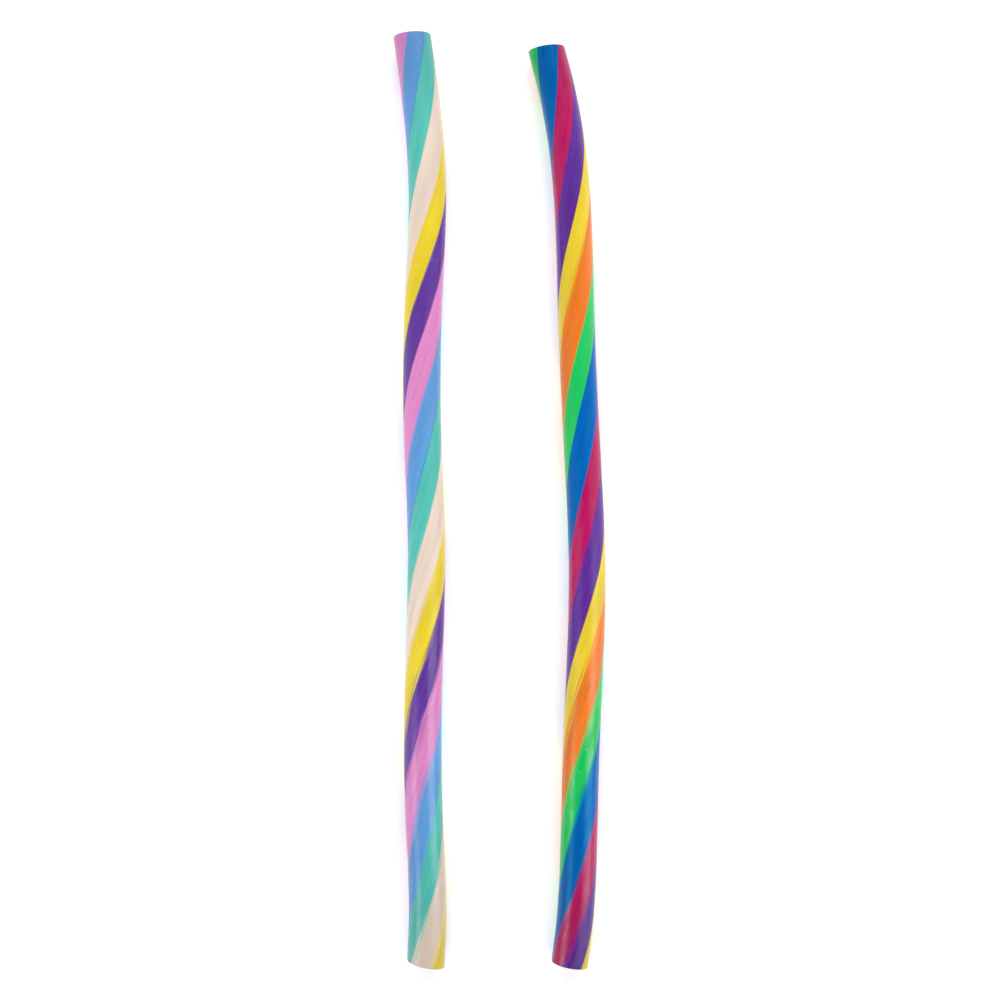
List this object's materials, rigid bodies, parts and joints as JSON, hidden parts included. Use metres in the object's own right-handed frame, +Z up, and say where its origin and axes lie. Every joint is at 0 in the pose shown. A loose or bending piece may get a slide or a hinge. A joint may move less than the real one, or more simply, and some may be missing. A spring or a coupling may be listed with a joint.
{
  "type": "soft twist stick pair",
  "caption": "Pair of soft, bendy round sticks lying side by side, each twisted from six coloured strands in a steady right-handed spiral, with flat-cut ends.",
  "frame": {"origin": "on the ground, below the middle of the box that holds both sticks", "axes": "+Y along the sticks towards their top ends, +Z up from the ground, +X from the pastel stick to the bright one"},
  "size_m": [0.0694, 0.3052, 0.0123],
  "materials": {
    "pastel_teal": "smooth soft rubber with a low gloss",
    "pastel_cream": "smooth soft rubber with a low gloss",
    "pastel_yellow": "smooth soft rubber with a low gloss",
    "pastel_purple": "smooth soft rubber with a low gloss",
    "pastel_pink": "smooth soft rubber with a low gloss",
    "pastel_blue": "smooth soft rubber with a low gloss",
    "bright_crimson": "smooth soft rubber with a low gloss",
    "bright_purple": "smooth soft rubber with a low gloss",
    "bright_yellow": "smooth soft rubber with a low gloss",
    "bright_orange": "smooth soft rubber with a low gloss",
    "bright_green": "smooth soft rubber with a low gloss",
    "bright_blue": "smooth soft rubber with a low gloss"
  },
  "bodies": {
    "pastel_middle": {"pastel_teal_middle": "pastel_teal", "pastel_cream_middle": "pastel_cream", "pastel_yellow_middle": "pastel_yellow", "pastel_purple_middle": "pastel_purple", "pastel_pink_middle": "pastel_pink", "pastel_blue_middle": "pastel_blue"},
    "pastel_upper": {"pastel_teal_upper": "pastel_teal", "pastel_cream_upper": "pastel_cream", "pastel_yellow_upper": "pastel_yellow", "pastel_purple_upper": "pastel_purple", "pastel_pink_upper": "pastel_pink", "pastel_blue_upper": "pastel_blue"},
    "pastel_lower": {"pastel_teal_lower": "pastel_teal", "pastel_cream_lower": "pastel_cream", "pastel_yellow_lower": "pastel_yellow", "pastel_purple_lower": "pastel_purple", "pastel_pink_lower": "pastel_pink", "pastel_blue_lower": "pastel_blue"},
    "bright_middle": {"bright_crimson_middle": "bright_crimson", "bright_purple_middle": "bright_purple", "bright_yellow_middle": "bright_yellow", "bright_orange_middle": "bright_orange", "bright_green_middle": "bright_green", "bright_blue_middle": "bright_blue"},
    "bright_upper": {"bright_crimson_upper": "bright_crimson", "bright_purple_upper": "bright_purple", "bright_yellow_upper": "bright_yellow", "bright_orange_upper": "bright_orange", "bright_green_upper": "bright_green", "bright_blue_upper": "bright_blue"},
    "bright_lower": {"bright_crimson_lower": "bright_crimson", "bright_purple_lower": "bright_purple", "bright_yellow_lower": "bright_yellow", "bright_orange_lower": "bright_orange", "bright_green_lower": "bright_green", "bright_blue_lower": "bright_blue"}
  },
  "joints": [
    {"name": "bright_lift", "type": "slide", "parent": "pastel_middle", "child": "bright_middle", "axis": [0, 0, 1], "range_m": [0, 0.05]},
    {"name": "pastel_upper_bend", "type": "hinge", "parent": "pastel_middle", "child": "pastel_upper", "pos_m": [-0.02523, 0.05102, 0.00615], "axis": [0, 0, 1], "range_deg": [-6, 40], "stiffness_Nm_per_rad": 0.03},
    {"name": "pastel_lower_bend", "type": "hinge", "parent": "pastel_middle", "child": "pastel_lower", "pos_m": [-0.02447, -0.04994, 0.00615], "axis": [0, 0, -1], "range_deg": [-6, 40], "stiffness_Nm_per_rad": 0.03},
    {"name": "bright_upper_bend", "type": "hinge", "parent": "bright_middle", "child": "bright_upper", "pos_m": [0.02558, 0.0489, 0.006], "axis": [0, 0, -1], "range_deg": [-6, 40], "stiffness_Nm_per_rad": 0.03},
    {"name": "bright_lower_bend", "type": "hinge", "parent": "bright_middle", "child": "bright_lower", "pos_m": [0.02806, -0.05202, 0.006], "axis": [0, 0, 1], "range_deg": [-6, 40], "stiffness_Nm_per_rad": 0.03}
  ]
}
